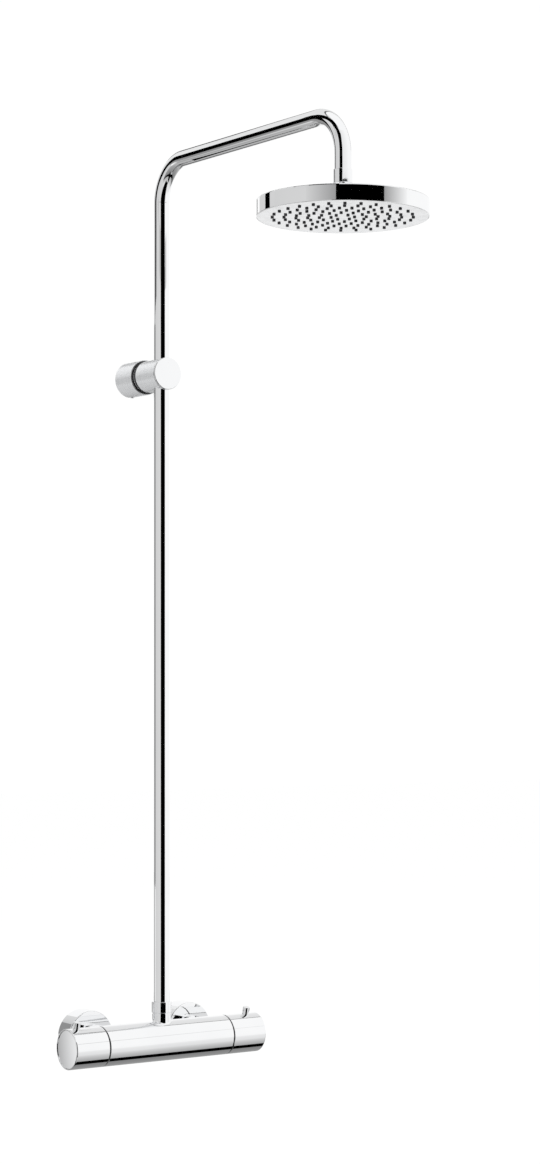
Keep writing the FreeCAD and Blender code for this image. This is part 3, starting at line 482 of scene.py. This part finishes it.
def studio_card(name, place, shade, columns=24, rows=2):
    """A card that only reflections see: place and shade are functions of two numbers from 0 to 1."""
    mesh = bpy.data.meshes.new(name)
    steps = [(i / columns, j / rows) for j in range(rows + 1) for i in range(columns + 1)]
    faces = []
    for j in range(rows):
        for i in range(columns):
            corner = j * (columns + 1) + i
            faces.append((corner, corner + 1, corner + columns + 2, corner + columns + 1))
    mesh.from_pydata([place(u, v) for u, v in steps], [], faces)
    attribute = mesh.color_attributes.new("shade", "FLOAT_COLOR", "POINT")
    for point, (u, v) in zip(attribute.data, steps):
        value = shade(u, v)
        point.color = (value, value, value, 1.0)
    mesh.materials.append(CARD_MATERIAL)
    card = bpy.data.objects.new(name, mesh)
    bpy.context.scene.collection.objects.link(card)
    for ray in ("camera", "diffuse", "transmission", "volume_scatter", "shadow"):
        setattr(card, "visible_" + ray, False)


def mixed(first, second, share):
    return first + (second - first) * share


def seen_from(centre, bearing, elevation, distance):
    """Point in a direction: bearing in degrees from the camera's side, turning to its right."""
    turn = math.radians(bearing)
    rise = math.radians(elevation)
    level = RIGHTWARD * math.sin(turn) - FORWARD * math.cos(turn)
    return centre + level * (distance * math.cos(rise)) + UP * (distance * math.sin(rise))


def upright_card(name, centre, distance, bearings, heights, shades, upward=False):
    """Curved upright card, shaded from its first bearing to its last, or from its foot upward."""
    def place(u, v):
        foot = Vector((centre.x, centre.y, mixed(heights[0], heights[1], v)))
        return seen_from(foot, mixed(bearings[0], bearings[1], u), 0, distance)

    studio_card(name, place, lambda u, v: mixed(shades[0], shades[1], v if upward else u), rows=8)


def floor_card(name, centre, radii, bearings, shades):
    """Part of a ring on the floor, shaded from its near to its far edge."""
    def place(u, v):
        foot = Vector((centre.x, centre.y, FLOOR_CARD_Z + 0.005))
        return seen_from(foot, mixed(bearings[0], bearings[1], u), 0, mixed(radii[0], radii[1], v))

    studio_card(name, place, lambda u, v: mixed(shades[0], shades[1], v))


def level_card(name, xs, ys, height, shades):
    """Flat card above or below the object, shaded from its low-Y to its high-Y edge."""
    def place(u, v):
        return Vector((mixed(xs[0], xs[1], u), mixed(ys[0], ys[1], v), height))

    studio_card(name, place, lambda u, v: mixed(shades[0], shades[1], v), columns=2, rows=24)


def side_card(name, x, rows, shade):
    """Flat upright card that faces the arm's side: rows are (height, low Y, high Y), bottom first."""
    def place(u, v):
        along = min(v * (len(rows) - 1), len(rows) - 1.001)
        index = int(along)
        low, high = Vector(rows[index]), Vector(rows[index + 1])
        height, start, end = low.lerp(high, along - index)
        return Vector((x, mixed(start, end, u), height))

    studio_card(name, place, lambda u, v: shade, columns=2, rows=8 * (len(rows) - 1))


def arched_card(name, centre, distance, stops, shade):
    """Bent strip round the arm's outer bend: each stop is its (bearing, elevation) on both edges."""
    def place(u, v):
        along = min(u * (len(stops) - 1), len(stops) - 1.001)
        index = int(along)
        share = along - index
        edges = []
        for side in (0, 1):
            start, end = stops[index][side], stops[index + 1][side]
            direction = [mixed(start[axis], end[axis], share) for axis in (0, 1)]
            edges.append(seen_from(centre, direction[0], direction[1], distance))
        return edges[0].lerp(edges[1], v)

    studio_card(name, place, lambda u, v: shade, columns=8 * (len(stops) - 1), rows=6)


BLACK = (0.0, 0.0)
FLOOR_CARD_Z = -0.85
BEND = Vector((0, HEAD.y + 0.03, ARM_TOP - 0.025))
ARM_FLAG = (
    (1.015, 0.15, 0.54), (1.11, 0.13, 0.56), (1.21, 0.15, 0.58), (1.32, 0.19, 0.64), (1.44, 0.27, 0.72))
BEND_FLAG = (
    ((-108, -3), (-115, 24)), ((-110, -1), (-110, 24)), ((-112, 4), (-108, 29)), ((-110, 9), (-104, 34)),
    ((-103, 19), (-99, 41)), ((-95, 27), (-91, 48)), ((-84, 33), (-79, 54)), ((-71, 36), (-59, 61)),
    ((-53, 36), (-34, 60)), ((-46, 30), (-3, 42)), ((-42, 22), (-5, 26)), ((-40, 9), (-4, 9)),
    ((-40, -1), (-4, -1)))


def make_studio():
    scene = bpy.context.scene
    scene.view_settings.view_transform = "Standard"
    world = bpy.data.worlds.new("studio_light")
    world.use_nodes = True
    world.node_tree.nodes["Background"].inputs["Color"].default_value = (1.0, 1.0, 1.0, 1.0)
    world.node_tree.nodes["Background"].inputs["Strength"].default_value = 1.02
    scene.world = world

    upright_card("black_flag", RISER, 3.0, (-10.5, 52), (-3, 2.6), BLACK)
    upright_card("riser_flag", RISER, 0.03, (-8.6, 42.7), (0.88, 1.06), BLACK)
    upright_card("left_reflector", RISER, 3.2, (-123, -10.5), (-3, 7), (0.66, 0.72))
    upright_card("riser_edge_low", RISER, 3.1, (-144, -97), (-0.06, 1.36), (0.30, 0.30))
    upright_card("riser_edge_high", RISER, 3.1, (-144, -97), (1.36, 2.6), (0.62, 0.90), upward=True)
    upright_card("end_disc_card", RISER, 3.0, (-124, -97), (-0.9, -0.06), (0.28, 1.15))
    upright_card("rim_shade_left", HEAD, 2.4, (-50, -10.5), (1.39, 1.51), (0.68, 0.36))
    upright_card("rim_shade_right", HEAD, 2.4, (53, 90), (1.39, 1.51), (0.35, 0.98))
    side_card("arm_flag", -0.45, ARM_FLAG, 0.0)
    arched_card("bend_flag", BEND, 0.40, BEND_FLAG, 0.0)
    upright_card("nut_line", BEND, 0.38, (-12, -3), (1.098, 1.122), BLACK)
    upright_card("bend_white", BEND, 0.45, (-9, 66), (1.105, 1.75), (0.86, 1.0))
    upright_card("bend_white_left", BEND, 0.45, (-40, -9), (1.19, 1.75), (0.86, 0.86))

    level_card("floor_front", (-6, 6), (-6, -1.5), FLOOR_CARD_Z, (1.0, 0.82))
    level_card("floor_front_shade", (-6, 6), (-1.5, -0.415), FLOOR_CARD_Z, (0.82, 0.42))
    level_card("floor_flag", (-6, 6), (-0.415, -0.06), FLOOR_CARD_Z, BLACK)
    level_card("floor_back_shade", (-6, 6), (-0.06, 1.7), FLOOR_CARD_Z, (0.24, 0.42))
    level_card("floor_behind", (-6, 6), (1.7, 6), FLOOR_CARD_Z, (0.46, 0.54))
    level_card("floor_far", (-12, 12), (6, 14), FLOOR_CARD_Z, (0.54, 0.54))
    upright_card("spray_plate_card", HEAD, 7.6, (160, 205), (-0.84, 0.2), (0.92, 0.92))
    floor_card("floor_flag_front", RISER, (1.2, 3.0), (-10.5, 52), BLACK)
    floor_card("floor_shade_behind", HEAD, (3.8, 7.5), (-186, -154), (0.15, 0.20))
    level_card("ceiling_flag", (-6, 6), (0.28, 0.42), 2.6, (0.15, 0.15))
    level_card("ceiling_behind", (-6, 6), (0.42, 4), 2.6, (0.80, 0.90))
    level_card("ceiling_shade", (0.4, 1.8), (1.8, 3.4), 2.59, (0.08, 0.08))


def make_floor():
    """Plain pale floor, far enough below the column to take no clear shadow from it."""
    mesh = bpy.data.meshes.new("floor")
    half = 25.0
    level = -0.9
    mesh.from_pydata([(-half, -half, level), (half, -half, level), (half, half, level), (-half, half, level)],
                     [], [(0, 1, 2, 3)])
    material = bpy.data.materials.new("pale_floor")
    material.use_nodes = True
    shader = material.node_tree.nodes["Principled BSDF"]
    shader.inputs["Base Color"].default_value = (0.98, 0.98, 0.98, 1.0)
    shader.inputs["Roughness"].default_value = 1.0
    shader.inputs["Specular IOR Level"].default_value = 0.0
    mesh.materials.append(material)
    floor = bpy.data.objects.new("floor", mesh)
    bpy.context.scene.collection.objects.link(floor)


def make_lights():
    """One wide soft light from above and in front."""
    data = bpy.data.lights.new("soft_light", "AREA")
    data.shape = "RECTANGLE"
    data.size = 3.0
    data.size_y = 2.0
    data.energy = 60.0
    light = bpy.data.objects.new("soft_light", data)
    bpy.context.scene.collection.objects.link(light)
    aim = Vector((0, RISER.y, HEAD.z / 2))
    light.location = aim - FORWARD * 2.5 - RIGHTWARD * 1.5 + UP * 2.5
    light.rotation_mode = "QUATERNION"
    light.rotation_quaternion = (aim - light.location).to_track_quat("-Z", "Y")
    light.visible_glossy = False


make_camera()
dress_nodes()
make_pipes()
make_unions()
make_wall_screws()
make_springs()
make_studio()
make_floor()
make_lights()
